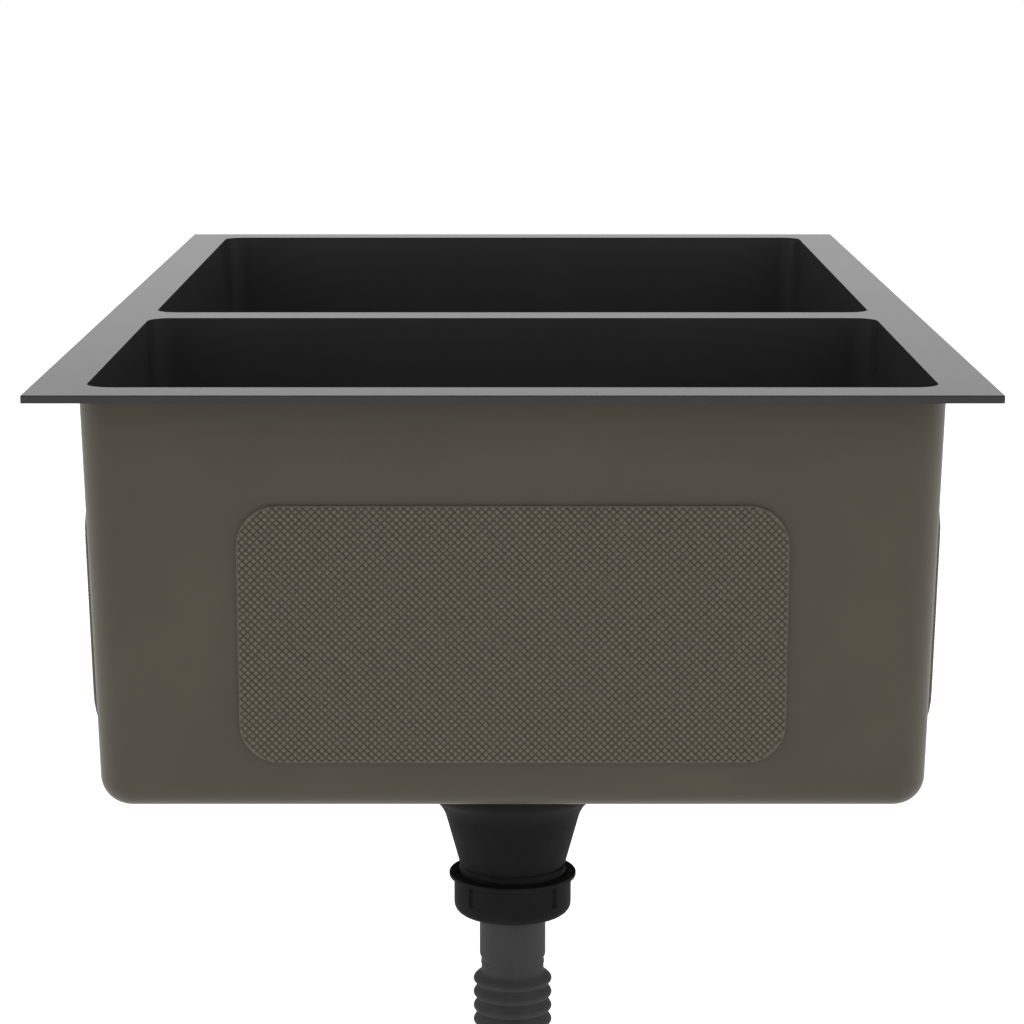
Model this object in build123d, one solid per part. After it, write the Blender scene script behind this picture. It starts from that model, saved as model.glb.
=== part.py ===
from build123d import *
import os
from math import cos, radians, sin, tan

# Double bowl kitchen sink for a cut-out in a worktop, in millimetres.
# X runs along the sink with the small bowl at +X, Y runs across it, and Z points up.
# The origin is the middle of the rim, on the plane where the rim rests on the worktop.

# Rim panel: one sheet, folded down at its outer edge, with an opening for each bowl.
sink_length = 750.0
sink_width = 440.0
sheet = 1.2
rim_height = 3.6
rim_margin = 25.0
divider_width = 25.0
rim_corner_radius = 1.0
rim_edge_radius = 0.5
seal_width = 8.0
seal_gap = 1.5

# Bowls: folded and welded sheet, with walls that lean in and a floor that falls to the drain.
small_bowl_length = 255.0
bowl_depth = 200.0
wall_draft = 1.5
bowl_corner_radius = 12.0
floor_edge_radius = 10.2
floor_fall = 3.6
floor_flat_border = 4.0
coat = 2.6
coat_drain_margin = 6.0

# Sound pads, glued on the coated walls.
pad_thickness = 2.6
pad_corner_radius = 17.5
end_pad_drop = 54.1
end_pad_height = 122.0
end_pad_width = 253.4
side_pad_drop = 57.0
side_pad_height = 108.0
side_pad_margin = 10.0

# Strainer: a pressed cup with a flange, clamped through the bowl floor by one bolt.
drain_hole_radius = 45.0
flange_radius = 57.0
flange_recess_margin = 1.5
strainer_sheet = 1.0
upper_gasket = 1.0
gasket_inset = 1.0
cup_hole_clearance = 1.5
cup_depth = 24.0
cup_taper = 15.0
cup_bend = 2.5
cup_slot_count = 8
cup_slot_width = 5.0
cup_slot_inner = 11.0
cup_slot_outer = 26.0

# Basket that lifts out of the strainer: perforated cup, post with a knob, and stopper disc.
basket_sheet = 0.8
basket_side_clearance = 1.0
basket_floor_clearance = 0.3
basket_top_drop = 2.0
basket_bend = 2.5
stopper_thickness = 3.0
stopper_margin = 4.0
stopper_bolt_clearance = 1.0
floor_hole_radius = 2.5
inner_hole_ring = 13.5
inner_hole_count = 8
outer_hole_ring = 24.0
outer_hole_count = 14
wall_slot_count = 18
wall_slot_width = 3.0
wall_slot_border = 3.5
post_radius = 3.5
knob_radius = 9.5
knob_height = 7.0
knob_slope_height = 2.3
knob_crown_height = 0.6
knob_shoulder_radius = 7.6
knob_crown_radius = 4.8
knob_drop = 1.0

# Clamping bolt and the threaded insert that it is screwed into.
bolt_radius = 3.0
bolt_hole_clearance = 0.3
bolt_head_radius = 6.5
bolt_head_height = 2.5
bolt_socket_radius = 2.2
bolt_socket_depth = 1.5
bolt_tail = 3.0
insert_wall = 1.6
insert_length = 12.0
thread_gap = 0.1

# Drain housing: moulded dish, cone and threaded spigot below the bowl floor.
lower_gasket = 3.0
housing_wall = 2.5
housing_flange = 3.5
dish_drop = 13.8
shoulder_drop = 8.45
cone_top_radius = 35.83
cone_height = 30.65
spigot_radius = 27.4
spigot_length = 17.9
shoulder_blend = 20.0
dish_blend = 11.0
boss_wall = 2.0
boss_gap = 5.0
boss_rib_thickness = 2.4

# Collar nut that draws the hose flange and a flat washer against the spigot.
nut_clearance = 0.2
nut_wall = 2.3
nut_floor = 4.5
nut_height = 21.3
nut_edge_radius = 5.0
nut_ring_height = 2.2
nut_ring_overhang = 2.5
grip_groove_count = 4
grip_groove_width = 1.4
grip_groove_depth = 0.9
grip_groove_length = 9.0
grip_groove_drop = 1.5
washer_thickness = 2.5

# Ribbed hose with a plain cuff at each end, and the stepped fitting on its lower end.
hose_bore_radius = 15.0
cuff_radius = 16.9
cuff_length = 23.6
cuff_clearance = 0.3
hose_flange_thickness = 2.5
neck_radius = 16.0
neck_length = 9.4
rib_crest_radius = 20.2
rib_valley_radius = 17.8
rib_pitch = 7.4
rib_count = 24
rib_rise = 1.85
rib_crest_width = 3.25
rib_valley_width = 0.45
tail_length = 40.5
fitting_overlap = 22.0
fitting_clearance = 0.1
fitting_stop_thickness = 3.0
fitting_stop_overhang = 3.0
wide_end_radius = 25.0
wide_end_length = 25.0
narrow_end_radius = 20.0
narrow_end_length = 28.0
fitting_bore_radius = 16.0
fitting_chamfer = 1.5

os.makedirs("parts", exist_ok=True)


def save(node, shape):
    export_step(shape, f"parts/{node}.step")


def turned(section, rounds=None, bevels=None):
    """A ring about Z from its section's (radius, height) corners; some get a radius or a bevel by number."""
    outline = make_face(Polyline(*section, close=True))
    for soften, sizes in ((fillet, rounds or {}), (chamfer, bevels or {})):
        for corner, size in sizes.items():
            nearest = outline.vertices().sort_by_distance(section[corner])[0]
            outline = soften(nearest, size)
    return revolve(Plane.XZ * outline, Axis.Z)


def disc(inner_radius, outer_radius, top, thickness):
    """A flat ring about Z."""
    bottom = top - thickness
    corners = [(inner_radius, bottom), (outer_radius, bottom), (outer_radius, top), (inner_radius, top)]
    return turned(corners)


def bar(x_size, y_size, z_low, z_high):
    """A box centred on the Z axis, between two heights."""
    box = Box(x_size, y_size, z_high - z_low, align=(Align.CENTER, Align.CENTER, Align.MIN))
    return Pos(0, 0, z_low) * box


# Levels of the rim and the bowls
rim_top = rim_height
panel_underside = rim_height - sheet
steel_floor_edge = rim_top - bowl_depth + floor_fall
draft_slope = tan(radians(wall_draft))

# The two openings along the sink
opening_width = sink_width - 2 * rim_margin
large_bowl_length = sink_length - 2 * rim_margin - divider_width - small_bowl_length
small_bowl_centre = sink_length / 2 - rim_margin - small_bowl_length / 2
large_bowl_centre = large_bowl_length / 2 + rim_margin - sink_length / 2

# Levels of the drain, from the bowl floor down
drain_floor = steel_floor_edge - floor_fall
strainer_top = drain_floor
recess_radius = flange_radius + flange_recess_margin
recess_floor = strainer_top - strainer_sheet - upper_gasket
drain_underside = recess_floor - sheet
housing_top = drain_underside - lower_gasket

# Strainer cup
cup_slope = tan(radians(cup_taper))
cup_top_inner = drain_hole_radius - cup_hole_clearance - strainer_sheet
cup_floor = strainer_top - cup_depth
cup_floor_inner = cup_top_inner - cup_depth * cup_slope
bolt_hole_radius = bolt_radius + bolt_hole_clearance

# Basket
stopper_underside = cup_floor + basket_floor_clearance
stopper_radius = cup_slot_outer + stopper_margin
basket_underside = stopper_underside + stopper_thickness
basket_floor = basket_underside + basket_sheet
basket_top = strainer_top - basket_top_drop


def basket_radius(height):
    """The basket's outer radius at a height, a side clearance inside the strainer cup."""
    return cup_floor_inner + (height - cup_floor) * cup_slope - basket_side_clearance


# Housing, from its flange down to the end of its spigot
dish_inner = drain_hole_radius + gasket_inset
dish_outer = dish_inner + housing_wall
shoulder_top = housing_top - housing_flange - dish_drop
cone_top = shoulder_top - shoulder_drop
cone_bottom = cone_top - cone_height
spigot_end = cone_bottom - spigot_length
boss_top = cup_floor - strainer_sheet - boss_gap
insert_radius = bolt_radius + thread_gap + insert_wall
boss_radius = insert_radius + boss_wall
boss_bottom = cone_bottom + boss_gap
insert_bottom = boss_bottom
insert_top = insert_bottom + insert_length
bolt_end = insert_bottom - bolt_tail

# Nut, washer and hose
washer_top = spigot_end
hose_top = washer_top - washer_thickness
nut_bore_radius = spigot_radius + nut_clearance
nut_radius = nut_bore_radius + nut_wall
nut_bottom = hose_top - hose_flange_thickness - nut_floor
nut_top = nut_bottom + nut_height
hose_flange_radius = nut_bore_radius - cuff_clearance
cuff_bottom = nut_bottom - cuff_length
ribs_top = cuff_bottom - neck_length
ribs_bottom = ribs_top - rib_count * rib_pitch
hose_bottom = ribs_bottom - tail_length
fitting_top = hose_bottom + fitting_overlap
wide_end_bottom = fitting_top - fitting_stop_thickness - wide_end_length
fitting_bottom = wide_end_bottom - narrow_end_length


def make_rim_panel():
    """The sheet with its folded edge, hollow underneath, and the two openings."""
    body = extrude(RectangleRounded(sink_length, sink_width, rim_corner_radius), rim_height)
    top_edges = body.faces().sort_by(Axis.Z)[-1].edges()
    body = fillet(top_edges, rim_edge_radius)
    body -= bar(sink_length - 2 * sheet, sink_width - 2 * sheet, 0, panel_underside)
    for centre, length in ((small_bowl_centre, small_bowl_length), (large_bowl_centre, large_bowl_length)):
        opening = extrude(RectangleRounded(length, opening_width, bowl_corner_radius), 2 * rim_height)
        body -= Pos(centre, 0, 0) * opening
    return body


def make_rim_seal():
    """Foam strip that fills the fold and meets the worktop."""
    inset = 2 * (sheet + seal_gap)
    outer = bar(sink_length - inset, sink_width - inset, 0, panel_underside)
    inset += 2 * seal_width
    return outer - bar(sink_length - inset, sink_width - inset, 0, panel_underside)


def frustum(top_sizes, bottom_sizes, top, bottom):
    """A block with four flat leaning sides: two crossed trapezoid prisms in common."""
    prisms = []
    for plane, wide, narrow, run in (
        (Plane.XZ, top_sizes[0], bottom_sizes[0], top_sizes[1]),
        (Plane.YZ, top_sizes[1], bottom_sizes[1], top_sizes[0]),
    ):
        corners = [(-wide / 2, top), (wide / 2, top), (narrow / 2, bottom), (-narrow / 2, bottom)]
        prisms.append(extrude(plane * make_face(Polyline(*corners, close=True)), run, both=True))
    return prisms[0] & prisms[1]


def tapered_block(length, offset, top, bottom):
    """A bowl's block, grown by offset on all sides, with leaning walls, rounded corners and floor edge."""
    lean = 2 * (top - bottom) * draft_slope
    sizes = (length + 2 * offset, opening_width + 2 * offset)
    block = frustum(sizes, (sizes[0] - lean, sizes[1] - lean), top, bottom)
    corners = [edge for edge in block.edges() if abs(edge.tangent_at(0.5).Z) > 0.5]
    block = fillet(corners, bowl_corner_radius + offset)
    foot = block.faces().sort_by(Axis.Z)[0]
    return fillet(foot.edges(), floor_edge_radius + offset)


def floor_pyramid(length, level):
    """The creased part of the floor, from a flat border down to a square round the drain."""
    lean = (panel_underside - steel_floor_edge) * draft_slope
    border = 2 * (lean + floor_edge_radius + floor_flat_border)
    square = 2 * (recess_radius + floor_flat_border)
    return frustum((length - border, opening_width - border), (square, square), level, level - floor_fall)


def bowl_form(length, offset, top):
    """Everything inside one skin of a bowl: offset 0 is the inside, and sheet is the outside."""
    level = steel_floor_edge - offset
    return tapered_block(length, offset, top, level) + floor_pyramid(length, level)


def make_bowl(length):
    """One bowl: walls, creased floor, recess for the strainer flange and drain hole."""
    recess_depth = drain_floor - recess_floor
    shell = bowl_form(length, sheet, panel_underside)
    shell += disc(0, recess_radius + sheet, drain_floor, recess_depth + sheet)
    shell -= bowl_form(length, 0, panel_underside)
    shell -= disc(0, recess_radius, drain_floor, recess_depth)
    return shell - disc(0, drain_hole_radius, drain_floor, bowl_depth)


def make_undercoat(length):
    """The thick sprayed coat on the outside of a bowl, left off round the drain."""
    coating = bowl_form(length, sheet + coat, panel_underside)
    coating -= bowl_form(length, sheet, panel_underside)
    coating -= bar(2 * sink_length, 2 * sink_width, 0, 2 * rim_height)
    coat_hole = recess_radius + sheet + coat_drain_margin
    return coating - disc(0, coat_hole, drain_floor, bowl_depth)


def pad_on_wall(distance, turn, width, height, drop):
    """A sound pad, a drop below the rim's top, on the wall that faces the turn angle at a distance."""
    middle = rim_top - drop - height / 2
    reach = distance + sheet + coat - (panel_underside - middle) * draft_slope
    facing = Vector(cos(radians(wall_draft)), 0, -sin(radians(wall_draft)))
    wall = Plane(origin=(reach, 0, middle), x_dir=(0, 1, 0), z_dir=facing)
    pad = extrude(wall * RectangleRounded(width, height, pad_corner_radius), pad_thickness)
    return Rot(0, 0, turn) * pad


def make_cup():
    """Strainer cup with its flange, drain slots and bolt hole."""
    base = cup_floor - strainer_sheet
    section = [
        (bolt_hole_radius, cup_floor),
        (cup_floor_inner, cup_floor),
        (cup_top_inner, strainer_top),
        (flange_radius, strainer_top),
        (flange_radius, strainer_top - strainer_sheet),
        (cup_top_inner + strainer_sheet, strainer_top - strainer_sheet),
        (cup_floor_inner + strainer_sheet, base),
        (bolt_hole_radius, base),
    ]
    cup = turned(section, bevels={1: cup_bend, 6: cup_bend + strainer_sheet / 2})
    slot = SlotOverall(cup_slot_outer - cup_slot_inner, cup_slot_width)
    cutter = Pos(0, 0, base - strainer_sheet) * extrude(slot, 3 * strainer_sheet)
    for place in PolarLocations((cup_slot_inner + cup_slot_outer) / 2, cup_slot_count):
        cup -= place * cutter
    return cup


def make_basket():
    """Perforated basket with a rolled top edge."""
    wall_low = basket_radius(basket_underside)
    wall_high = basket_radius(basket_top)
    section = [
        (post_radius, basket_underside),
        (wall_low, basket_underside),
        (wall_high, basket_top),
        (wall_high - 2 * basket_sheet, basket_top),
        (wall_high - 2 * basket_sheet, basket_top - basket_sheet),
        (wall_high - basket_sheet - basket_sheet * cup_slope, basket_top - basket_sheet),
        (wall_low - basket_sheet, basket_floor),
        (post_radius, basket_floor),
    ]
    basket = turned(section, bevels={6: basket_bend, 1: basket_bend + basket_sheet / 2})
    hole = disc(0, floor_hole_radius, basket_floor + basket_sheet, 3 * basket_sheet)
    for ring_radius, count in ((inner_hole_ring, inner_hole_count), (outer_hole_ring, outer_hole_count)):
        for place in PolarLocations(ring_radius, count):
            basket -= place * hole
    slot_low = basket_floor + basket_bend
    slot_high = basket_top - wall_slot_border
    slot = Pos(wall_low, 0, 0) * bar(4 * basket_bend, wall_slot_width, slot_low, slot_high)
    for step in range(wall_slot_count):
        basket -= Rot(0, 0, 360 * step / wall_slot_count) * slot
    return basket


def make_basket_post():
    """Post through the basket floor, with a domed knob to lift it by."""
    knob_top = strainer_top - knob_drop
    knob_base = knob_top - knob_height
    section = [
        (0, basket_underside),
        (post_radius, basket_underside),
        (post_radius, knob_base),
        (knob_radius, knob_base + knob_slope_height),
        (knob_radius, knob_top - knob_slope_height),
        (knob_shoulder_radius, knob_top - knob_crown_height),
        (knob_crown_radius, knob_top),
        (0, knob_top),
    ]
    return turned(section)


def make_stopper():
    """Rubber disc under the basket that closes the strainer slots, open round the bolt head."""
    opening = bolt_head_radius + stopper_bolt_clearance
    section = [
        (opening, stopper_underside),
        (stopper_radius, stopper_underside),
        (stopper_radius + stopper_thickness / 2, basket_underside),
        (opening, basket_underside),
    ]
    return turned(section)


def make_bolt():
    """Clamping bolt with a low head and a six-sided socket."""
    head_top = cup_floor + bolt_head_height
    section = [
        (0, bolt_end),
        (bolt_radius, bolt_end),
        (bolt_radius, cup_floor),
        (bolt_head_radius, cup_floor),
        (bolt_head_radius, head_top),
        (0, head_top),
    ]
    bolt = turned(section)
    socket = extrude(RegularPolygon(bolt_socket_radius, 6), bolt_socket_depth)
    return bolt - Pos(0, 0, head_top - bolt_socket_depth) * socket


def make_housing():
    """Moulded housing, with a boss for the insert held on ribs across its cone."""
    flange_low = housing_top - housing_flange
    slant = housing_wall * shoulder_drop / (dish_outer - cone_top_radius) / 2
    section = [
        (dish_inner, housing_top),
        (flange_radius, housing_top),
        (flange_radius, flange_low),
        (dish_outer, flange_low),
        (dish_outer, shoulder_top),
        (cone_top_radius, cone_top),
        (spigot_radius, cone_bottom),
        (spigot_radius, spigot_end),
        (spigot_radius - housing_wall, spigot_end),
        (spigot_radius - housing_wall, cone_bottom),
        (cone_top_radius - housing_wall, cone_top + slant),
        (dish_inner, shoulder_top + slant),
    ]
    blends = {4: dish_blend, 5: shoulder_blend, -2: shoulder_blend - housing_wall}
    shell = turned(section, rounds=blends)
    boss = disc(0, boss_radius, boss_top, boss_top - boss_bottom)
    cone = [(0, cone_bottom), (spigot_radius, cone_bottom), (cone_top_radius, cone_top), (0, cone_top)]
    cross = bar(2 * cone_top_radius, boss_rib_thickness, boss_bottom, boss_top)
    cross += bar(boss_rib_thickness, 2 * cone_top_radius, boss_bottom, boss_top)
    ribs = cross & turned(cone)
    return (shell + boss + ribs) - disc(0, insert_radius, boss_top, boss_top - boss_bottom)


def make_collar_nut():
    """Nut with a rounded foot, a thin wider ring at its top and grip grooves round its side."""
    cuff_hole = cuff_radius + cuff_clearance
    section = [
        (nut_bore_radius, nut_top),
        (nut_radius + nut_ring_overhang, nut_top),
        (nut_radius + nut_ring_overhang, nut_top - nut_ring_height),
        (nut_radius, nut_top - nut_ring_height),
        (nut_radius, nut_bottom),
        (cuff_hole, nut_bottom),
        (cuff_hole, nut_bottom + nut_floor),
        (nut_bore_radius, nut_bottom + nut_floor),
    ]
    nut = turned(section, rounds={4: nut_edge_radius})
    groove_top = nut_top - nut_ring_height - grip_groove_drop
    groove = bar(2 * grip_groove_depth, grip_groove_width, groove_top - grip_groove_length, groove_top)
    for step in range(grip_groove_count):
        turn = 360 * (step + 0.5) / grip_groove_count
        nut -= Rot(0, 0, turn) * Pos(nut_radius, 0, 0) * groove
    return nut


def make_hose():
    """Hose: flange and cuff held by the nut, ribs from a ruled loft, and a plain tail, all bored through."""
    cuff_section = [
        (0, hose_top),
        (hose_flange_radius, hose_top),
        (hose_flange_radius, hose_top - hose_flange_thickness),
        (cuff_radius, hose_top - hose_flange_thickness),
        (cuff_radius, cuff_bottom),
        (neck_radius, cuff_bottom - (cuff_radius - neck_radius)),
        (neck_radius, ribs_top),
        (0, ribs_top),
    ]
    steps = (
        (0, rib_valley_radius),
        (rib_rise, rib_crest_radius),
        (rib_rise + rib_crest_width, rib_crest_radius),
        (rib_pitch - rib_valley_width, rib_valley_radius),
    )
    rings = []
    for rib in range(rib_count):
        for drop, radius in steps:
            rings.append(Pos(0, 0, ribs_top - rib * rib_pitch - drop) * Circle(radius))
    ribs = loft(rings, ruled=True)
    last_ring = ribs_bottom + rib_valley_width
    hose = turned(cuff_section) + ribs + disc(0, cuff_radius, last_ring, last_ring - hose_bottom)
    return hose - disc(0, hose_bore_radius, hose_top, hose_top - hose_bottom)


def make_end_fitting():
    """Stepped end that pushes into a wide or a narrow waste pipe."""
    grip = cuff_radius + fitting_clearance
    stop_bottom = fitting_top - fitting_stop_thickness
    section = [
        (grip, fitting_top),
        (wide_end_radius + fitting_stop_overhang, fitting_top),
        (wide_end_radius + fitting_stop_overhang, stop_bottom),
        (wide_end_radius, stop_bottom),
        (wide_end_radius, wide_end_bottom),
        (narrow_end_radius, wide_end_bottom),
        (narrow_end_radius, fitting_bottom + fitting_chamfer),
        (narrow_end_radius - fitting_chamfer, fitting_bottom),
        (fitting_bore_radius, fitting_bottom),
        (fitting_bore_radius, hose_bottom),
        (grip, hose_bottom),
    ]
    return turned(section)


def make_drain_pieces():
    """The pieces of one drain, by name, on the Z axis."""
    washer_radius = hose_flange_radius
    gasket_outer = flange_radius - gasket_inset
    gasket_inner = drain_hole_radius + gasket_inset
    return {
        "strainer_cup": make_cup(),
        "upper_gasket": disc(gasket_inner, gasket_outer, recess_floor + upper_gasket, upper_gasket),
        "lower_gasket": disc(gasket_inner, gasket_outer, drain_underside, lower_gasket),
        "drain_housing": make_housing(),
        "threaded_insert": disc(bolt_radius + thread_gap, insert_radius, insert_top, insert_length),
        "clamping_bolt": make_bolt(),
        "basket": make_basket(),
        "basket_post": make_basket_post(),
        "basket_stopper": make_stopper(),
        "collar_nut": make_collar_nut(),
        "hose_washer": disc(hose_bore_radius, washer_radius, washer_top, washer_thickness),
        "hose": make_hose(),
        "end_fitting": make_end_fitting(),
    }


save("rim_panel", make_rim_panel())
save("rim_seal", make_rim_seal())

bowls = {"small": (small_bowl_centre, small_bowl_length), "large": (large_bowl_centre, large_bowl_length)}
drain_pieces = make_drain_pieces()
for name, (centre, length) in bowls.items():
    at_bowl = Pos(centre, 0, 0)
    save(f"{name}_bowl", at_bowl * make_bowl(length))
    save(f"{name}_undercoat", at_bowl * make_undercoat(length))
    flat_length = length - 2 * (bowl_corner_radius + side_pad_margin)
    for side, turn in (("right", 90), ("left", -90)):
        side_pad = pad_on_wall(opening_width / 2, turn, flat_length, side_pad_height, side_pad_drop)
        save(f"{name}_{side}_pad", at_bowl * side_pad)
    outer_turn = 0 if centre > 0 else 180
    end_pad = pad_on_wall(length / 2, outer_turn, end_pad_width, end_pad_height, end_pad_drop)
    save(f"{name}_end_pad", at_bowl * end_pad)
    for piece, shape in drain_pieces.items():
        save(f"{name}_{piece}", at_bowl * shape)
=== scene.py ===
import math

import bmesh
import bpy
from mathutils import Matrix, Vector


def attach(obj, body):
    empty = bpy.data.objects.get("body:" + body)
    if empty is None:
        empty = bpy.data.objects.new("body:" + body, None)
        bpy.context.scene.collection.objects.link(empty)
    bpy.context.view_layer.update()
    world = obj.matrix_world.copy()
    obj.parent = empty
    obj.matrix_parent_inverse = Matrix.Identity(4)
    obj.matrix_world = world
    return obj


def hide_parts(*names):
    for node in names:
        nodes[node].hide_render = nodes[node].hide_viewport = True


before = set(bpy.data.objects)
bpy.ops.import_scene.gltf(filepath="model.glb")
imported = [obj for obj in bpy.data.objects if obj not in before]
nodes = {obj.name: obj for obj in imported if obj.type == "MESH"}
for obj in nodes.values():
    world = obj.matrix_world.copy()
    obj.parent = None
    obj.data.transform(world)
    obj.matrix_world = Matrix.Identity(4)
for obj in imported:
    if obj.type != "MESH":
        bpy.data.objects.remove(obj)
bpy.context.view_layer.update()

# Rim panel and bowls: stainless sheet, folded and welded into one piece and then coated
# black all over. The rim is a flat panel with its outer edge folded down, and each bowl
# has straight walls, small corner radii and a creased floor that falls to the drain.
# Sizes in this script are in millimetres, heights are from the plane where the rim rests,
# and MM turns them to metres.
MM = 0.001
brush_spacing = 0.9
brush_stretch = 50
coat_cloud = 111.1
coat_grain = 0.35


def linear(hex_colour):
    """An sRGB hex colour as the linear values that a shader takes."""
    channels = [int(hex_colour[i:i + 2], 16) / 255 for i in (1, 3, 5)]
    return [c / 12.92 if c <= 0.04045 else ((c + 0.055) / 1.055) ** 2.4 for c in channels] + [1.0]


def start_material(name):
    """An empty node material."""
    material = bpy.data.materials.new(name)
    material.use_nodes = True
    material.node_tree.nodes.clear()
    return material


def add_node(owner, kind, inputs=None, stops=(), **settings):
    """Adds one node: each input is a value or another node's output, and stops are a ramp's colours."""
    node = owner.node_tree.nodes.new(kind)
    for name, value in settings.items():
        setattr(node, name, value)
    for name, value in (inputs or {}).items():
        if isinstance(value, bpy.types.NodeSocket):
            owner.node_tree.links.new(value, node.inputs[name])
        else:
            node.inputs[name].default_value = value
    for count, (position, hex_colour) in enumerate(stops):
        node.color_ramp.elements[count].position = position
        node.color_ramp.elements[count].color = linear(hex_colour)
    return node


def dress_nodes(names, material):
    """Gives carried-over solids their finish."""
    for name in names:
        nodes[name].data.materials.clear()
        nodes[name].data.materials.append(material)


# Black electrophoretic coat on brushed stainless sheet: nearly black face on, with an even
# satin sheen that turns grey at a low angle. The brushing under it shows very faintly. It
# and the coat's grain are drawn coarser than they are, because the real ones wouldn't show.
coated_steel = start_material("black_coated_stainless")
place = add_node(coated_steel, "ShaderNodeTexCoord")
stretch = add_node(coated_steel, "ShaderNodeMapping", {
    "Vector": place.outputs["Object"], "Scale": (1 / brush_stretch, 1, 1)})
brushing = add_node(coated_steel, "ShaderNodeTexNoise", {
    "Vector": stretch.outputs["Vector"], "Scale": 1 / (brush_spacing * MM), "Detail": 2.0})
cloud = add_node(coated_steel, "ShaderNodeTexNoise", {
    "Vector": place.outputs["Object"], "Scale": 1 / (coat_cloud * MM), "Detail": 3.0})
grain = add_node(coated_steel, "ShaderNodeTexNoise", {
    "Vector": place.outputs["Object"], "Scale": 1 / (coat_grain * MM), "Detail": 2.0})
tone = add_node(coated_steel, "ShaderNodeValToRGB", {
    "Fac": cloud.outputs["Fac"]}, stops=((0.3, "#303031"), (0.7, "#343435")))
gloss = add_node(coated_steel, "ShaderNodeMapRange", {
    "Value": cloud.outputs["Fac"], "To Min": 0.21, "To Max": 0.23})
height = add_node(coated_steel, "ShaderNodeMath", {
    0: brushing.outputs["Fac"], 1: grain.outputs["Fac"]}, operation="ADD")
relief = add_node(coated_steel, "ShaderNodeBump", {
    "Height": height.outputs[0], "Strength": 0.05, "Distance": 0.2 * MM})
surface = add_node(coated_steel, "ShaderNodeBsdfPrincipled", {
    "Base Color": tone.outputs["Color"], "Roughness": gloss.outputs["Result"],
    "Specular IOR Level": 0.3, "Normal": relief.outputs["Normal"]})
add_node(coated_steel, "ShaderNodeOutputMaterial", {"Surface": surface.outputs["BSDF"]})

dress_nodes(["rim_panel", "small_bowl", "large_bowl"], coated_steel)

# Rim seal: a strip of closed-cell foam glued into the fold, all round under the rim.
# It is squeezed on the worktop and keeps water out of the cut-out.
foam_cell = 0.8

# Closed-cell foam: dead black and matt, with a fine cell pattern that breaks up its face.
foam = start_material("closed_cell_foam")
place = add_node(foam, "ShaderNodeTexCoord")
cells = add_node(foam, "ShaderNodeTexVoronoi", {
    "Vector": place.outputs["Object"], "Scale": 1 / (foam_cell * MM)})
tone = add_node(foam, "ShaderNodeValToRGB", {
    "Fac": cells.outputs["Distance"]}, stops=((0.0, "#0d0d0d"), (0.8, "#1c1c1c")))
relief = add_node(foam, "ShaderNodeBump", {
    "Height": cells.outputs["Distance"], "Strength": 0.4, "Distance": 0.3 * MM})
surface = add_node(foam, "ShaderNodeBsdfPrincipled", {
    "Base Color": tone.outputs["Color"], "Roughness": 0.9,
    "Specular IOR Level": 0.2, "Normal": relief.outputs["Normal"]})
add_node(foam, "ShaderNodeOutputMaterial", {"Surface": surface.outputs["BSDF"]})

dress_nodes(["rim_seal"], foam)

# Undercoat: a thick sound-deadening compound, sprayed on the outside of each bowl from
# the rim down and over the floor, and masked off in a circle round the drain.
spray_drop = 1.1
spray_cloud = 70.0

# Sprayed deadening compound: grey-brown, with a low sheen and the faint grain of its drops.
undercoat = start_material("sprayed_sound_deadener")
place = add_node(undercoat, "ShaderNodeTexCoord")
drops = add_node(undercoat, "ShaderNodeTexNoise", {
    "Vector": place.outputs["Object"], "Scale": 1 / (spray_drop * MM), "Detail": 3.0, "Roughness": 0.6})
cloud = add_node(undercoat, "ShaderNodeTexNoise", {
    "Vector": place.outputs["Object"], "Scale": 1 / (spray_cloud * MM), "Detail": 2.0})
shade = add_node(undercoat, "ShaderNodeMix", {
    0: 0.25, 2: cloud.outputs["Fac"], 3: drops.outputs["Fac"]}, data_type="FLOAT")
tone = add_node(undercoat, "ShaderNodeValToRGB", {
    "Fac": shade.outputs[0]}, stops=((0.3, "#534e42"), (0.7, "#5a5447")))
relief = add_node(undercoat, "ShaderNodeBump", {
    "Height": drops.outputs["Fac"], "Strength": 0.15, "Distance": 0.3 * MM})
surface = add_node(undercoat, "ShaderNodeBsdfPrincipled", {
    "Base Color": tone.outputs["Color"], "Roughness": 0.42,
    "Specular IOR Level": 0.25, "Normal": relief.outputs["Normal"]})
add_node(undercoat, "ShaderNodeOutputMaterial", {"Surface": surface.outputs["BSDF"]})

dress_nodes(["small_undercoat", "large_undercoat"], undercoat)

# Sound pads: rubber pads stuck on the outer walls to stop the sheet from ringing. Each is
# pressed with a cross-hatch of V grooves that leaves raised diamonds, inside a rounded edge.
opening_width = 390.0
bowl_lengths = {"small": 255.0, "large": 420.0}
bowl_middles = {"small": 222.5, "large": -140.0}
skin = 3.8
wall_lean = 1.5
panel_underside = 2.4
pad_thickness = 2.6
pad_corner = 18.8
end_pad_size = (253.4, 122.0)
end_pad_middle = -111.5
side_pad_height = 108.0
side_pad_middle = -107.4
side_pad_margin = 22.0
diamond_width = 3.54
groove_spacing = diamond_width / math.sqrt(2)
groove_depth = 1.0
edge_band = 0.35
edge_rounding = 0.25
weld_distance = 0.02
dust_spot = 2.0

# As shares of the groove spacing: half of a diamond's flat top, and how far the innermost
# corner of a diamond has to lie inside the edge band for the diamond to be pressed at all.
diamond_top = 0.34
edge_catch = 0.1


def outline_reach(u, v, half_u, half_v, corner):
    """How far a point lies outside a rounded rectangle, and the outward direction there."""
    out_u = abs(u) - (half_u - corner)
    out_v = abs(v) - (half_v - corner)
    if out_u > 0 and out_v > 0:
        length = math.hypot(out_u, out_v)
        return length - corner, math.copysign(out_u / length, u), math.copysign(out_v / length, v)
    if out_u > out_v:
        return out_u - corner, math.copysign(1, u), 0.0
    return out_v - corner, 0.0, math.copysign(1, v)


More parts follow.
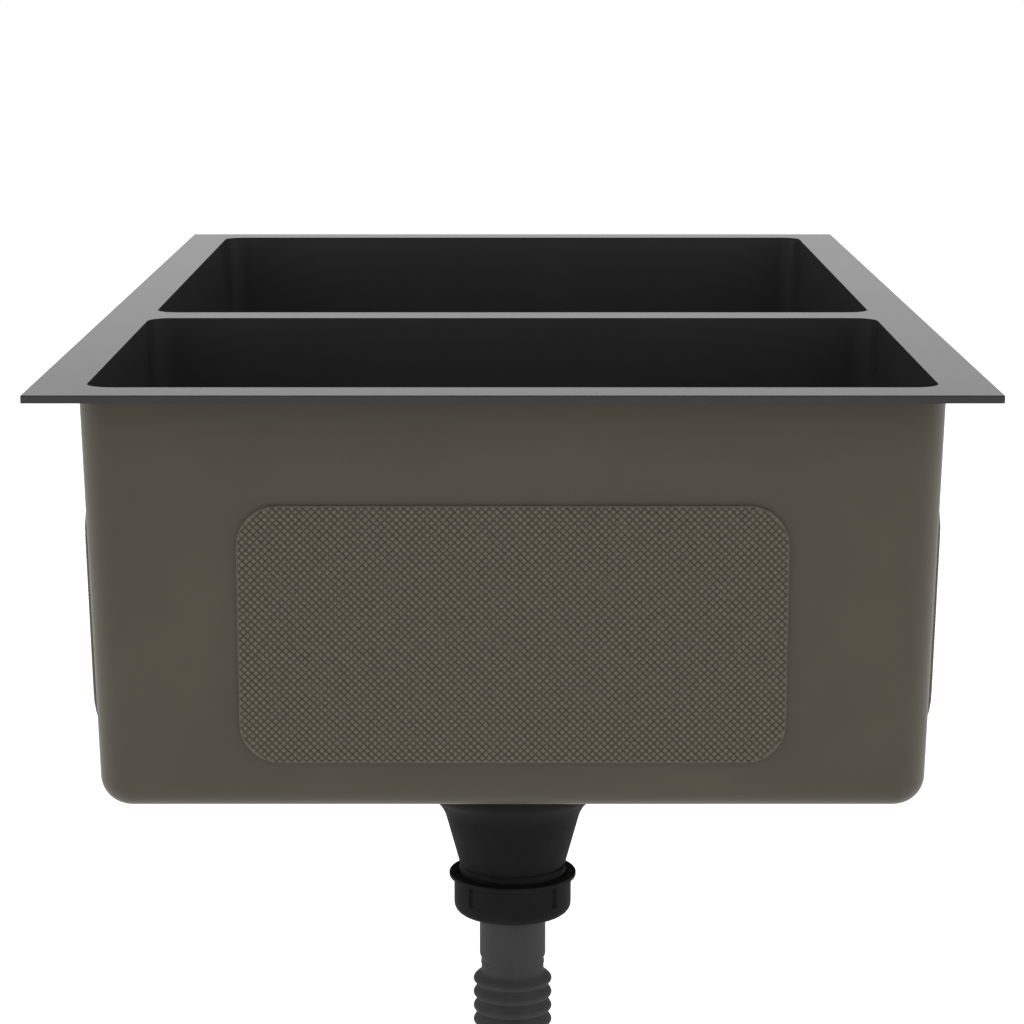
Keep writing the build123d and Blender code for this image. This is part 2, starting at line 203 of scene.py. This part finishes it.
def to_mesh(name, building):
    """Turns a mesh under construction into a finished one, with its faces turned outwards."""
    bmesh.ops.recalc_face_normals(building, faces=building.faces)
    finished = bpy.data.meshes.new(name)
    building.to_mesh(finished)
    building.free()
    return finished


def hatched_pad(name, width, height):
    """A pad's mesh in mm: diamonds clipped at the edge band, a rounded edge, sides and a flat back."""
    band = (width / 2 - edge_band, height / 2 - edge_band, pad_corner - edge_band)
    least_reach = -edge_catch * groove_spacing
    edge_top = pad_thickness - edge_rounding
    building = bmesh.new()
    groove_points = {}

    def on_pad(i, j):
        return (i + j) * diamond_width / 2, (i - j) * diamond_width / 2

    def add_point(i, j, level):
        u, v = on_pad(i, j)
        reach, toward_u, toward_v = outline_reach(u, v, *band)
        if reach > least_reach:
            return building.verts.new((u - reach * toward_u, v - reach * toward_v, edge_top))
        return building.verts.new((u, v, level))

    def groove_point(i, j):
        if (i, j) not in groove_points:
            groove_points[i, j] = add_point(i, j, pad_thickness - groove_depth)
        return groove_points[i, j]

    count = int((width + height) / diamond_width) + 2
    for i in range(-count, count):
        for j in range(-count, count):
            around = [(i + x, j + y) for x, y in ((0, 0), (1, 0), (1, 1), (0, 1))]
            if min(outline_reach(*on_pad(*spot), *band)[0] for spot in around) > least_reach:
                continue
            corners = [groove_point(*spot) for spot in around]
            raised = [add_point(i + 0.5 + x * diamond_top, j + 0.5 + y * diamond_top, pad_thickness)
                      for x, y in ((-1, -1), (1, -1), (1, 1), (-1, 1))]
            building.faces.new(raised)
            for side in range(4):
                building.faces.new((corners[side - 1], corners[side], raised[side], raised[side - 1]))

    border = [tuple(edge.verts) for edge in building.edges if edge.is_boundary]
    edge_steps = (
        (edge_band - edge_rounding, edge_top),
        (edge_band, edge_top - edge_rounding),
        (edge_band, 0.0),
    )
    for outward, level in edge_steps:
        below = {}
        for vertex in [vertex for pair in border for vertex in pair]:
            if vertex not in below:
                u, v = vertex.co.xy
                reach, toward_u, toward_v = outline_reach(u, v, *band)
                spot = (u + (outward - reach) * toward_u, v + (outward - reach) * toward_v, level)
                below[vertex] = building.verts.new(spot)
        for start, end in border:
            building.faces.new((start, end, below[end], below[start]))
        border = [(below[start], below[end]) for start, end in border]
    bmesh.ops.remove_doubles(building, verts=building.verts, dist=weld_distance)
    bmesh.ops.dissolve_degenerate(building, edges=building.edges, dist=weld_distance / 2)
    bmesh.ops.edgeloop_fill(building, edges=[edge for edge in building.edges if edge.is_boundary])
    return to_mesh(name, building)


def onto_wall(distance, turn, middle, bowl_middle):
    """The placing, in metres, of a pad on the wall that faces the turn angle."""
    lean = math.radians(wall_lean)
    across = Vector((0, 1, 0))
    up = Vector((math.sin(lean), 0, math.cos(lean)))
    out = Vector((math.cos(lean), 0, -math.sin(lean)))
    flat = Matrix((across, up, out)).transposed().to_4x4()
    flat.translation = (distance + skin - (panel_underside - middle) * math.tan(lean), 0, middle)
    at_bowl = Matrix.Translation((bowl_middle, 0, 0))
    return Matrix.Scale(MM, 4) @ at_bowl @ Matrix.Rotation(math.radians(turn), 4, "Z") @ flat


def show_piece(name, mesh, material, sharp_angle=35):
    """Links a mesh to the scene as a piece, smooth except where it turns sharply."""
    mesh.materials.append(material)
    mesh.shade_smooth()
    mesh.set_sharp_from_angle(angle=math.radians(sharp_angle))
    piece = bpy.data.objects.new(name, mesh)
    bpy.context.scene.collection.objects.link(piece)
    return piece


# Pressed bitumen rubber: matt, a little lighter than the sprayed coat, with dusty tops.
pad_rubber = start_material("pressed_sound_rubber")
place = add_node(pad_rubber, "ShaderNodeTexCoord")
dust = add_node(pad_rubber, "ShaderNodeTexNoise", {
    "Vector": place.outputs["Object"], "Scale": 1 / (dust_spot * MM), "Detail": 3.0})
tone = add_node(pad_rubber, "ShaderNodeValToRGB", {
    "Fac": dust.outputs["Fac"]}, stops=((0.3, "#6a6457"), (0.7, "#777162")))
surface = add_node(pad_rubber, "ShaderNodeBsdfPrincipled", {
    "Base Color": tone.outputs["Color"], "Roughness": 0.6, "Specular IOR Level": 0.25})
add_node(pad_rubber, "ShaderNodeOutputMaterial", {"Surface": surface.outputs["BSDF"]})

for bowl, bowl_middle in bowl_middles.items():
    side_width = bowl_lengths[bowl] - 2 * side_pad_margin
    outer_turn = 0 if bowl_middle > 0 else 180
    pads = {
        "right": (side_width, side_pad_height, opening_width / 2, 90, side_pad_middle),
        "left": (side_width, side_pad_height, opening_width / 2, -90, side_pad_middle),
        "end": (*end_pad_size, bowl_lengths[bowl] / 2, outer_turn, end_pad_middle),
    }
    for side, (width, height, distance, turn, middle) in pads.items():
        pad_mesh = hatched_pad(f"{bowl}_{side}_sound_pad", width, height)
        pad_mesh.transform(onto_wall(distance, turn, middle, bowl_middle))
        pad = show_piece(f"{bowl}_{side}_sound_pad", pad_mesh, pad_rubber, sharp_angle=80)
        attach(pad, "sink")
        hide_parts(f"{bowl}_{side}_pad")

# Strainers and baskets: a cup pressed from thin sheet sits in each bowl's drain hole, and a
# perforated basket lifts out of it by the turned knob on its post. All are coated like the
# sink, and the post is riveted through the basket's floor.
post_radius = 3.5
post_bottom = -217.1
knob_radius = 9.5
knob_neck = -204.4
knob_rim_bottom = -202.2
knob_rim_top = -199.2
knob_crown = -197.4
knob_neck_rounding = 0.8
knob_rim_rounding = 0.6
knob_crown_rounding = 1.6
arc_step = 15
turn_steps = 64
even_turn = [2 * math.pi * step / turn_steps for step in range(turn_steps)]


def round_outline(corners):
    """Points of a section in mm from (radius, height, rounding) corners, each rounded by an arc."""
    points = []
    for count, (radius, height, rounding) in enumerate(corners):
        corner = Vector((radius, height))
        if rounding == 0:
            points.append(corner)
            continue
        before = (Vector(corners[count - 1][:2]) - corner).normalized()
        after = (Vector(corners[(count + 1) % len(corners)][:2]) - corner).normalized()
        half_angle = before.angle(after) / 2
        centre = corner + (before + after).normalized() * rounding / math.sin(half_angle)
        start = corner + before * rounding / math.tan(half_angle) - centre
        end = corner + after * rounding / math.tan(half_angle) - centre
        steps = max(2, round(start.angle(end) / math.radians(arc_step)))
        for step in range(steps + 1):
            arm = start.normalized().slerp(end.normalized(), step / steps)
            points.append(centre + arm * rounding)
    return points


def join_rings(building, rings):
    """Faces between each ring of points and the next, and from the last ring to the first."""
    for ring, next_ring in zip(rings, rings[1:] + rings[:1]):
        for step in range(len(ring)):
            building.faces.new((ring[step], ring[step - 1], next_ring[step - 1], next_ring[step]))


def turn_section(name, points, middle, angles, shape=None):
    """A mesh, in metres, of a closed section turned about a drain's upright axis."""
    building = bmesh.new()
    rings = []
    for radius, height in points:
        ring = []
        for angle in angles:
            reach = radius if shape is None else shape(radius, height, angle)
            spot = (middle + reach * math.cos(angle), reach * math.sin(angle), height)
            ring.append(building.verts.new([length * MM for length in spot]))
        rings.append(ring)
    join_rings(building, rings)
    bmesh.ops.remove_doubles(building, verts=building.verts, dist=weld_distance * MM)
    return to_mesh(name, building)


coated_pieces = ("strainer_cup", "basket")
dress_nodes([f"{bowl}_{piece}" for bowl in bowl_middles for piece in coated_pieces], coated_steel)

knob_section = round_outline([
    (0, post_bottom, 0),
    (post_radius, post_bottom, 0),
    (post_radius, knob_neck, knob_neck_rounding),
    (knob_radius, knob_rim_bottom, knob_rim_rounding),
    (knob_radius, knob_rim_top, knob_crown_rounding),
    (0, knob_crown, 0),
])
for bowl, bowl_middle in bowl_middles.items():
    knob_mesh = turn_section(f"{bowl}_basket_knob", knob_section, bowl_middle, even_turn)
    knob = show_piece(f"{bowl}_basket_knob", knob_mesh, coated_steel)
    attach(knob, f"{bowl}_basket")
    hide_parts(f"{bowl}_basket_post")

# Seals: the stopper disc under each basket, the gaskets above and below the bowl's floor,
# and the flat washer inside the collar nut, all cut or moulded from black rubber.
seal_names = ("basket_stopper", "upper_gasket", "lower_gasket", "hose_washer")
rubber_bloom = 6.0

# Nitrile rubber: deep black and nearly matt, with a slight greyish bloom in soft patches.
seal_rubber = start_material("black_nitrile_rubber")
place = add_node(seal_rubber, "ShaderNodeTexCoord")
bloom = add_node(seal_rubber, "ShaderNodeTexNoise", {
    "Vector": place.outputs["Object"], "Scale": 1 / (rubber_bloom * MM), "Detail": 4.0})
tone = add_node(seal_rubber, "ShaderNodeValToRGB", {
    "Fac": bloom.outputs["Fac"]}, stops=((0.3, "#121212"), (0.7, "#1a1a1a")))
surface = add_node(seal_rubber, "ShaderNodeBsdfPrincipled", {
    "Base Color": tone.outputs["Color"], "Roughness": 0.65, "Specular IOR Level": 0.3})
add_node(seal_rubber, "ShaderNodeOutputMaterial", {"Surface": surface.outputs["BSDF"]})

dress_nodes([f"{bowl}_{piece}" for bowl in bowl_middles for piece in seal_names], seal_rubber)

# Clamping bolt and insert: one stainless bolt through each cup screws into a brass insert
# that is moulded into the housing's boss, and squeezes the floor between its gaskets.
turning_mark = 1.5
turning_squash = 12
brass_tarnish = 3.0

# Turned stainless: bright grey metal, its gloss broken by fine rings from the lathe.
bolt_steel = start_material("turned_stainless")
place = add_node(bolt_steel, "ShaderNodeTexCoord")
stretch = add_node(bolt_steel, "ShaderNodeMapping", {
    "Vector": place.outputs["Object"], "Scale": (1, 1, turning_squash)})
lines = add_node(bolt_steel, "ShaderNodeTexNoise", {
    "Vector": stretch.outputs["Vector"], "Scale": 1 / (turning_mark * MM), "Detail": 2.0})
gloss = add_node(bolt_steel, "ShaderNodeMapRange", {
    "Value": lines.outputs["Fac"], "To Min": 0.25, "To Max": 0.4})
surface = add_node(bolt_steel, "ShaderNodeBsdfPrincipled", {
    "Base Color": linear("#b4b2ae"), "Metallic": 1.0, "Roughness": gloss.outputs["Result"]})
add_node(bolt_steel, "ShaderNodeOutputMaterial", {"Surface": surface.outputs["BSDF"]})

dress_nodes(["small_clamping_bolt", "large_clamping_bolt"], bolt_steel)

# Machined brass: warm yellow metal with a satin gloss and small darker patches of tarnish.
insert_brass = start_material("machined_brass")
place = add_node(insert_brass, "ShaderNodeTexCoord")
tarnish = add_node(insert_brass, "ShaderNodeTexNoise", {
    "Vector": place.outputs["Object"], "Scale": 1 / (brass_tarnish * MM), "Detail": 3.0})
tone = add_node(insert_brass, "ShaderNodeValToRGB", {
    "Fac": tarnish.outputs["Fac"]}, stops=((0.3, "#b08d4a"), (0.7, "#c9a75f")))
surface = add_node(insert_brass, "ShaderNodeBsdfPrincipled", {
    "Base Color": tone.outputs["Color"], "Metallic": 1.0, "Roughness": 0.35})
add_node(insert_brass, "ShaderNodeOutputMaterial", {"Surface": surface.outputs["BSDF"]})

dress_nodes(["small_threaded_insert", "large_threaded_insert"], insert_brass)

# Drain housing and end fitting: moulded polypropylene. Under each bowl a short dish turns
# into a plain cone that ends in a threaded spigot for the collar nut, with a relief groove
# above the thread. The stepped fitting is pushed over the hose's lower cuff.
mould_flow = 14.0
mould_texture = 0.5
spigot_radius = 27.4
thread_root = 26.2
thread_top = -260.6
thread_pitch = 3.0
thread_turns = 5
thread_steps = 48
relief_top = -259.3
relief_bottom = -261.2
cutter_overlap = 0.15

# Half of the thread groove's mouth: just under half the pitch, so that no turn meets the next.
thread_mouth = 0.49 * thread_pitch

# Moulded black polypropylene: flat black, with hardly any gloss and a fine mould texture,
# drawn coarser than it is so that it shows.
moulded_plastic = start_material("moulded_black_polypropylene")
place = add_node(moulded_plastic, "ShaderNodeTexCoord")
flow = add_node(moulded_plastic, "ShaderNodeTexNoise", {
    "Vector": place.outputs["Object"], "Scale": 1 / (mould_flow * MM), "Detail": 3.0})
texture = add_node(moulded_plastic, "ShaderNodeTexNoise", {
    "Vector": place.outputs["Object"], "Scale": 1 / (mould_texture * MM), "Detail": 2.0})
tone = add_node(moulded_plastic, "ShaderNodeValToRGB", {
    "Fac": flow.outputs["Fac"]}, stops=((0.3, "#1f1f1f"), (0.7, "#242424")))
relief = add_node(moulded_plastic, "ShaderNodeBump", {
    "Height": texture.outputs["Fac"], "Strength": 0.08, "Distance": 0.2 * MM})
surface = add_node(moulded_plastic, "ShaderNodeBsdfPrincipled", {
    "Base Color": tone.outputs["Color"], "Roughness": 0.75,
    "Specular IOR Level": 0.08, "Normal": relief.outputs["Normal"]})
add_node(moulded_plastic, "ShaderNodeOutputMaterial", {"Surface": surface.outputs["BSDF"]})

dress_nodes(["small_end_fitting", "large_end_fitting"], moulded_plastic)


def thread_cutter(middle):
    """The V groove that winds down a spigot, as a mesh in metres for cutting."""
    outer = spigot_radius + cutter_overlap
    corners = ((outer, thread_mouth), (thread_root, 0), (outer, -thread_mouth))
    building = bmesh.new()
    last = None
    for step in range(thread_turns * thread_steps + 1):
        turn = math.pi + 2 * math.pi * step / thread_steps
        level = thread_top - thread_pitch * step / thread_steps
        section = []
        for reach, rise in corners:
            spot = (middle + reach * math.cos(turn), reach * math.sin(turn), level + rise)
            section.append(building.verts.new([length * MM for length in spot]))
        if last:
            for side in range(3):
                building.faces.new((last[side - 1], last[side], section[side], section[side - 1]))
        else:
            building.faces.new(section)
        last = section
    building.faces.new(last)
    return to_mesh("thread_cutter", building)


def cut_grooves(piece, cutter_meshes):
    """A piece's mesh with the space of each cutter taken out of it."""
    cutters = [bpy.data.objects.new("cutter", mesh) for mesh in cutter_meshes]
    for cutter in cutters:
        bpy.context.scene.collection.objects.link(cutter)
        cut = piece.modifiers.new("cut", "BOOLEAN")
        cut.object = cutter
        cut.solver = "EXACT"
    bpy.context.view_layer.update()
    cut_piece = piece.evaluated_get(bpy.context.evaluated_depsgraph_get())
    mesh = bpy.data.meshes.new_from_object(cut_piece)
    for cutter in cutters:
        bpy.data.objects.remove(cutter)
    return mesh


relief_section = [
    (thread_root, relief_top),
    (spigot_radius + cutter_overlap, relief_top),
    (spigot_radius + cutter_overlap, relief_bottom),
    (thread_root, relief_bottom),
]
for bowl, bowl_middle in bowl_middles.items():
    solid = nodes[f"{bowl}_drain_housing"]
    blank = show_piece("blank", solid.data.copy(), moulded_plastic, sharp_angle=30)
    blank.matrix_world = solid.matrix_world.copy()
    relief_cutter = turn_section("relief_cutter", relief_section, bowl_middle, even_turn)
    housing_mesh = cut_grooves(blank, [thread_cutter(bowl_middle), relief_cutter])
    bpy.data.objects.remove(blank)
    housing_mesh.materials.clear()
    housing = show_piece(f"{bowl}_threaded_housing", housing_mesh, moulded_plastic, sharp_angle=30)
    housing.matrix_world = solid.matrix_world.copy()
    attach(housing, "sink")
    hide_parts(f"{bowl}_drain_housing")

# Collar nut: moulded like the housing, with a thin wider ring round its top and four grip
# grooves moulded into its side. It pulls the hose's flange up against the spigot.
nut_bore = 27.6
nut_radius = 29.9
nut_ring_radius = 32.4
nut_top = -265.1
nut_ring_bottom = -267.3
nut_bottom = -286.4
nut_floor = -281.9
nut_hole = 17.2
nut_mouth_rounding = 0.4
nut_ring_rounding = 0.5
nut_foot_rounding = 5.0
nut_hole_rounding = 0.3
nut_steps = 90
grip_top = -268.8
grip_bottom = -277.8
grip_end_slope = 0.9
grip_depth = 1.2
grip_half_floor = 0.68
grip_half_width = 1.7
grip_margin = 3.4
least_step = 0.6
same_place = 0.01
grip_turns = [math.radians(45 + 90 * side) for side in range(4)]


def distance_round(angle, turn):
    """The distance in mm from one turn angle to another, round the nut's side."""
    return abs(math.remainder(angle - turn, 2 * math.pi)) * nut_radius


def grip_groove(radius, height, angle):
    """Sinks the grip grooves' floors into the nut's side."""
    on_side = abs(radius - nut_radius) < same_place
    in_height = grip_bottom - same_place < height < grip_top + same_place
    floor_reach = (grip_half_floor + grip_half_width) / 2
    on_floor = any(distance_round(angle, turn) < floor_reach for turn in grip_turns)
    return radius - grip_depth if on_side and in_height and on_floor else radius


nut_angles = [2 * math.pi * step / nut_steps for step in range(nut_steps)]
for turn in grip_turns:
    nut_angles = [angle for angle in nut_angles if distance_round(angle, turn) > grip_margin + least_step]
for turn in grip_turns:
    for shift in (grip_half_floor, grip_half_width, grip_margin):
        nut_angles += [turn - shift / nut_radius, turn + shift / nut_radius]
nut_angles.sort()
nut_section = round_outline([
    (nut_bore, nut_top, nut_mouth_rounding),
    (nut_ring_radius, nut_top, nut_ring_rounding),
    (nut_ring_radius, nut_ring_bottom, nut_ring_rounding),
    (nut_radius, nut_ring_bottom, 0),
    (nut_radius, grip_top + grip_end_slope, 0),
    (nut_radius, grip_top, 0),
    (nut_radius, grip_bottom, 0),
    (nut_radius, grip_bottom - grip_end_slope, 0),
    (nut_radius, nut_bottom, nut_foot_rounding),
    (nut_hole, nut_bottom, nut_hole_rounding),
    (nut_hole, nut_floor, 0),
    (nut_bore, nut_floor, 0),
])
for bowl, bowl_middle in bowl_middles.items():
    nut_mesh = turn_section(f"{bowl}_grip_nut", nut_section, bowl_middle, nut_angles, grip_groove)
    nut = show_piece(f"{bowl}_grip_nut", nut_mesh, moulded_plastic)
    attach(nut, "sink")
    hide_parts(f"{bowl}_collar_nut")

# Waste hoses: a ribbed polypropylene hose hangs straight down from each drain.
# It is blown in a mould, so its ribs bulge out round and meet in sharp valleys, and
# a plain cuff is left at each end for the collar nut and for the end fitting.
hose_top = -279.4
hose_bottom = -537.5
hose_heights = [hose_top, -300.0, -350.0, -400.0, -450.0, -500.0, hose_bottom]
hose_bore = 15.0
hose_flange_radius = 27.3
hose_flange_bottom = -281.9
hose_steps = 96
cuff_radius = 16.9
cuff_bottom = -310.0
cuff_root = 0.6
cuff_lip_length = 1.0
cuff_lip_drop = 0.2
neck_radius = 16.0
neck_slope = 1.2
neck_bead = -313.6
neck_bead_radius = 16.25
neck_bead_half_width = 0.5
neck_end = 0.6
ribs_top = -317.6
rib_pitch = 7.4
rib_count = 24
rib_valley = 16.8
rib_crest = 20.15
rib_peak = 0.7
rib_steps = 16
tail_slope = 0.8
drag_stretch = 0.15
drag_width = 6.0
blown_grain = 0.6


def hose_line(middle):
    """The hose's centreline, read from its smooth spline, in metres."""
    curve = bpy.data.curves.new("hose_line", "CURVE")
    curve.dimensions = "3D"
    spline = curve.splines.new("NURBS")
    spline.points.add(len(hose_heights) - 1)
    for point, height in zip(spline.points, hose_heights):
        point.co = (middle * MM, 0, height * MM, 1)
    spline.order_u = 3
    spline.use_endpoint_u = True
    carrier = bpy.data.objects.new("hose_line", curve)
    line_mesh = bpy.data.meshes.new_from_object(carrier)
    points = [vertex.co.copy() for vertex in line_mesh.vertices]
    bpy.data.objects.remove(carrier)
    bpy.data.meshes.remove(line_mesh)
    return points


def rib_bulge(share):
    """How far a rib stands out, from 0 to 1, at a share of its pitch: a slow rise, then a steep fall."""
    if share < rib_peak:
        return 0.5 - 0.5 * math.cos(math.pi * share / rib_peak)
    return math.sqrt(1 - ((share - rib_peak) / (1 - rib_peak)) ** 2)


def hose_section():
    """The wall's outline as (distance from the top, radius) in mm: down the outside, up the bore."""
    flange = hose_top - hose_flange_bottom
    neck = hose_top - cuff_bottom
    bead = hose_top - neck_bead
    ribs = hose_top - ribs_top
    ribs_end = ribs + rib_count * rib_pitch
    length = hose_top - hose_bottom
    outline = [
        (0, hose_flange_radius),
        (flange, hose_flange_radius),
        (flange, cuff_radius + cuff_root),
        (flange + cuff_root, cuff_radius),
        (neck - cuff_lip_length, cuff_radius),
        (neck, cuff_radius - cuff_lip_drop),
        (neck + neck_slope, neck_radius),
        (bead - neck_slope, neck_radius),
        (bead - neck_bead_half_width, neck_bead_radius),
        (bead + neck_bead_half_width, neck_bead_radius),
        (bead + neck_slope, neck_radius),
        (ribs - neck_end, neck_radius),
    ]
    for rib in range(rib_count):
        for step in range(rib_steps):
            share = step / rib_steps
            valley = neck_radius if rib == 0 and share < rib_peak else rib_valley
            radius = valley + (rib_crest - valley) * rib_bulge(share)
            outline.append((ribs + (rib + share) * rib_pitch, radius))
    outline += [
        (ribs_end, rib_valley),
        (ribs_end + tail_slope, cuff_radius),
        (length, cuff_radius),
        (length, hose_bore),
        (0, hose_bore),
    ]
    return outline


def sweep_outline(name, outline, line, steps):
    """A mesh of rings round a line, one for each (distance, radius) of a closed outline."""
    turns = [2 * math.pi * step / steps for step in range(steps)]
    lengths = [0.0]
    for start, end in zip(line, line[1:]):
        lengths.append(lengths[-1] + (end - start).length)
    slack = 1e-9
    building = bmesh.new()
    rings = []
    for distance, radius in outline:
        reach = min(distance * MM, lengths[-1])
        stretch = max(i for i in range(len(line) - 1) if lengths[i] <= reach + slack)
        along = (line[stretch + 1] - line[stretch]).normalized()
        centre = line[stretch] + along * (reach - lengths[stretch])
        across = along.cross(Vector((0, 1, 0))).normalized()
        other = along.cross(across)
        arms = [across * math.cos(turn) + other * math.sin(turn) for turn in turns]
        rings.append([building.verts.new(centre + arm * radius * MM) for arm in arms])
    join_rings(building, rings)
    return to_mesh(name, building)


# Dark grey polypropylene, blown: a soft even sheen with faint mould drag along the wall, and
# a grain that is drawn coarser than it is so that it shows.
blown_plastic = start_material("blown_grey_polypropylene")
place = add_node(blown_plastic, "ShaderNodeTexCoord")
drag = add_node(blown_plastic, "ShaderNodeMapping", {
    "Vector": place.outputs["Object"], "Scale": (1, 1, drag_stretch)})
mottle = add_node(blown_plastic, "ShaderNodeTexNoise", {
    "Vector": drag.outputs["Vector"], "Scale": 1 / (drag_width * MM), "Detail": 4.0})
grain = add_node(blown_plastic, "ShaderNodeTexNoise", {
    "Vector": place.outputs["Object"], "Scale": 1 / (blown_grain * MM), "Detail": 3.0})
tone = add_node(blown_plastic, "ShaderNodeValToRGB", {
    "Fac": mottle.outputs["Fac"]}, stops=((0.3, "#464646"), (0.7, "#4c4c4c")))
relief = add_node(blown_plastic, "ShaderNodeBump", {
    "Height": grain.outputs["Fac"], "Strength": 0.1, "Distance": 0.2 * MM})
surface = add_node(blown_plastic, "ShaderNodeBsdfPrincipled", {
    "Base Color": tone.outputs["Color"], "Roughness": 0.7,
    "Specular IOR Level": 0.1, "Normal": relief.outputs["Normal"]})
add_node(blown_plastic, "ShaderNodeOutputMaterial", {"Surface": surface.outputs["BSDF"]})

for bowl, bowl_middle in bowl_middles.items():
    line = hose_line(bowl_middle)
    hose_mesh = sweep_outline(f"{bowl}_ribbed_hose", hose_section(), line, hose_steps)
    hose = show_piece(f"{bowl}_ribbed_hose", hose_mesh, blown_plastic, sharp_angle=50)
    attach(hose, "sink")
    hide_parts(f"{bowl}_hose")

# Studio: a pale floor and background, soft light from all round and two broad side lamps.
# The floor and background are white to the camera and in gloss, and the floor still takes
# the sink's shadow. In gloss the background turns to a dimmer ceiling as it rises.
floor_level = -620.0
floor_half = 20000.0
floor_glow = 0.7
background_light = 0.75
ceiling_light = 0.35
ceiling_start = 0.06
ceiling_end = 0.35
lamp_power = 9.0
lamp_width = 2400.0
lamp_height = 2000.0
lamp_distance = 2600.0
lamp_along = 300.0
lamp_level = 200.0


def seen_light(owner, ray):
    """1 for rays from the camera, in gloss and through glass, and 0 for the rays that light the object."""
    seen = ray.outputs["Is Camera Ray"]
    for kind in ("Is Glossy Ray", "Is Transmission Ray"):
        either = add_node(owner, "ShaderNodeMath", {0: seen, 1: ray.outputs[kind]}, operation="MAXIMUM")
        seen = either.outputs[0]
    return seen


# Matt white paint, lifted to pure white by its own glow only where it is looked at.
floor_paint = start_material("studio_white")
ray = add_node(floor_paint, "ShaderNodeLightPath")
lift = add_node(floor_paint, "ShaderNodeMath", {
    0: seen_light(floor_paint, ray), 1: floor_glow}, operation="MULTIPLY")
matt = add_node(floor_paint, "ShaderNodeBsdfDiffuse", {"Color": linear("#e6e6e6")})
glow = add_node(floor_paint, "ShaderNodeEmission", {"Strength": lift.outputs[0]})
both = add_node(floor_paint, "ShaderNodeAddShader", {0: matt.outputs[0], 1: glow.outputs[0]})
add_node(floor_paint, "ShaderNodeOutputMaterial", {"Surface": both.outputs[0]})

floor_mesh = bpy.data.meshes.new("studio_floor")
floor_corners = [(x * floor_half * MM, y * floor_half * MM, floor_level * MM)
                 for x, y in ((-1, -1), (1, -1), (1, 1), (-1, 1))]
floor_mesh.from_pydata(floor_corners, [], [(0, 1, 2, 3)])
show_piece("studio_floor", floor_mesh, floor_paint)

studio = bpy.data.worlds.new("studio_light")
bpy.context.scene.world = studio
studio.use_nodes = True
studio.node_tree.nodes.clear()
ray = add_node(studio, "ShaderNodeLightPath")
towards = add_node(studio, "ShaderNodeTexCoord")
rise = add_node(studio, "ShaderNodeSeparateXYZ", {"Vector": towards.outputs["Generated"]})
overhead = add_node(studio, "ShaderNodeMapRange", {
    "Value": rise.outputs["Z"], "From Min": ceiling_start, "From Max": ceiling_end,
    "To Min": 1.0, "To Max": ceiling_light})
shown = add_node(studio, "ShaderNodeMath", {
    0: overhead.outputs["Result"], 1: ray.outputs["Is Camera Ray"]}, operation="MAXIMUM")
level = add_node(studio, "ShaderNodeMapRange", {
    "Value": seen_light(studio, ray), "To Min": background_light, "To Max": shown.outputs[0]})
light = add_node(studio, "ShaderNodeBackground", {"Color": linear("#ffffff"), "Strength": level.outputs[0]})
add_node(studio, "ShaderNodeOutputWorld", {"Surface": light.outputs[0]})

for name, side in (("left_lamp", -1), ("right_lamp", 1)):
    lamp_data = bpy.data.lights.new(name, "AREA")
    lamp_data.shape = "RECTANGLE"
    lamp_data.size = lamp_width * MM
    lamp_data.size_y = lamp_height * MM
    lamp_data.energy = lamp_power
    lamp = bpy.data.objects.new(name, lamp_data)
    lamp.location = (lamp_along * MM, side * lamp_distance * MM, lamp_level * MM)
    lamp.rotation_euler = (-side * math.radians(90), 0, 0)
    bpy.context.scene.collection.objects.link(lamp)

# Camera: it stands about 1.3 m beyond the small bowl's end and 0.2 m above the rim, and
# looks along the sink with a long lens.
camera_place = (1700.0, -0.3, 203.0)
camera_tilt = 10.78
camera_turn = 90.0
film_width = 36.0
lens_length = 105.5
camera_data = bpy.data.cameras.new("camera")
camera_data.sensor_width = film_width
camera_data.lens = lens_length
camera_data.clip_end = 100.0
camera = bpy.data.objects.new("camera", camera_data)
camera.location = [length * MM for length in camera_place]
camera.rotation_euler = (math.radians(90 - camera_tilt), 0, math.radians(camera_turn))
bpy.context.scene.collection.objects.link(camera)
bpy.context.scene.camera = camera
bpy.context.scene.view_settings.view_transform = "Standard"
